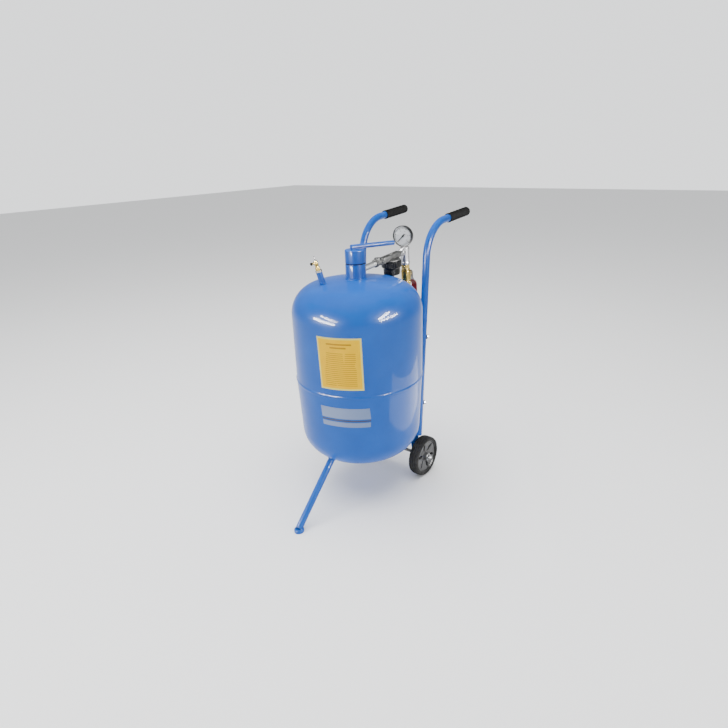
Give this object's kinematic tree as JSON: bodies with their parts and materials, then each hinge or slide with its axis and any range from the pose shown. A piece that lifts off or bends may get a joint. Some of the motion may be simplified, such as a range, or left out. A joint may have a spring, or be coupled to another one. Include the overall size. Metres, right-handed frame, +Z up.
{
  "type": "wheeled pressure pot",
  "caption": "Upright welded steel pressure pot on two wheels and a front leg, with a screw-capped filler neck, relief valve, gauge, moisture trap and ball valve.",
  "frame": {"origin": "on the floor under the middle of the footprint", "axes": "+Z up; +Y towards the grips, with the front leg along -Y; +X to the left of someone holding the grips"},
  "size_m": [0.3644, 0.7196, 0.7972],
  "materials": {
    "blue_enamel": "gloss",
    "black_rubber": "matte",
    "tyre_rubber": "matte",
    "wheel_plastic": "satin",
    "black_plastic": "gloss",
    "brass": "machined",
    "plated_steel": "zinc plated",
    "cast_zinc": "as cast",
    "dial_face": "printed",
    "clear_lens": "clear",
    "red_vinyl": "dipped vinyl",
    "yellow_film": "printed film",
    "silver_film": "printed film"
  },
  "bodies": {
    "pot": {"upper_shell": "blue_enamel", "lower_shell": "blue_enamel", "girth_weld": "blue_enamel", "filler_neck": "blue_enamel", "drain_boss": "blue_enamel", "relief_socket": "blue_enamel", "front_leg": "blue_enamel", "foot_pad": "blue_enamel", "handle_tube_right": "blue_enamel", "handle_tube_left": "blue_enamel", "tube_bracket_upper_right": "blue_enamel", "tube_bracket_upper_left": "blue_enamel", "tube_bracket_lower_right": "blue_enamel", "tube_bracket_lower_left": "blue_enamel", "axle_bracket_right": "blue_enamel", "axle_bracket_left": "blue_enamel", "grip_right": "black_rubber", "grip_left": "black_rubber", "trap_bowl": "black_plastic", "gauge_case": "black_plastic", "relief_body": "brass", "valve_body": "brass", "drain_plug": "brass", "bourdon_tube": "brass", "axle_rod": "plated_steel", "hub_nut_right": "plated_steel", "hub_nut_left": "plated_steel", "bracket_bolt_upper_right": "plated_steel", "bracket_bolt_upper_left": "plated_steel", "bracket_bolt_lower_right": "plated_steel", "bracket_bolt_lower_left": "plated_steel", "relief_nut": "plated_steel", "neck_pipe": "plated_steel", "tee": "plated_steel", "inlet_nipple": "plated_steel", "check_valve": "cast_zinc", "trap_head": "cast_zinc", "gauge_dial": "dial_face", "trap_element": "dial_face", "gauge_lens": "clear_lens", "caution_label": "yellow_film", "stripe_decal": "silver_film"},
    "cap_seal": {"cap_gasket": "black_rubber"},
    "cap": {"fill_cap": "blue_enamel", "cap_lever": "blue_enamel"},
    "relief_pin": {"relief_ring": "plated_steel"},
    "bleed_screw": {"bleed_screw": "black_plastic"},
    "wheel_right": {"tyre_right": "tyre_rubber", "rim_right": "wheel_plastic", "bush_right": "brass"},
    "wheel_left": {"tyre_left": "tyre_rubber", "rim_left": "wheel_plastic", "bush_left": "brass"},
    "ball_valve_lever": {"valve_stem": "plated_steel", "valve_lever": "plated_steel", "lever_sleeve": "red_vinyl"},
    "gauge_needle": {"gauge_needle": "black_plastic"},
    "drain_cock": {"drain_cock": "black_plastic"}
  },
  "joints": [
    {"name": "cap_rise", "type": "slide", "parent": "pot", "child": "cap_seal", "axis": [0, 0, 1], "range_m": [0, 0.0121]},
    {"name": "cap_turn", "type": "hinge", "parent": "cap_seal", "child": "cap", "pos_m": [0, -0.05425, 0.7], "axis": [0, 0, 1], "range_deg": [0, 1080]},
    {"name": "relief_pull", "type": "slide", "parent": "pot", "child": "relief_pin", "axis": [-0.1461, -0.2136, 0.9659], "range_m": [0, 0.003], "stiffness_N_per_m": 600, "springref_m": -0.002},
    {"name": "bleed_screw_turn", "type": "hinge", "parent": "pot", "child": "bleed_screw", "pos_m": [-0.0687, -0.14913, 0.69412], "axis": [-0.7697, -0.5889, -0.2467], "range_deg": [0, 720]},
    {"name": "wheel_right_spin", "type": "hinge", "parent": "pot", "child": "wheel_right", "pos_m": [0.126, 0.09476, 0.0628], "axis": [1, 0, 0], "continuous": true},
    {"name": "wheel_left_spin", "type": "hinge", "parent": "pot", "child": "wheel_left", "pos_m": [-0.126, 0.09476, 0.0628], "axis": [1, 0, 0], "continuous": true},
    {"name": "ball_valve_turn", "type": "hinge", "parent": "pot", "child": "ball_valve_lever", "pos_m": [0, 0.19123, 0.60874], "axis": [0, 0.9969, 0.0785], "range_deg": [0, 90]},
    {"name": "gauge_sweep", "type": "hinge", "parent": "pot", "child": "gauge_needle", "pos_m": [0, 0.18191, 0.72717], "axis": [-0.1392, 0.9872, 0.0777], "range_deg": [0, 270], "stiffness_Nm_per_rad": 0.002},
    {"name": "drain_cock_turn", "type": "hinge", "parent": "pot", "child": "drain_cock", "pos_m": [0, 0.11712, 0.61996], "axis": [0, 0.0785, -0.9969], "range_deg": [0, 180]}
  ],
  "couplings": [
    {"joint": "cap_rise", "follows": "cap_turn", "m_per_rad": 0.00063662}
  ]
}
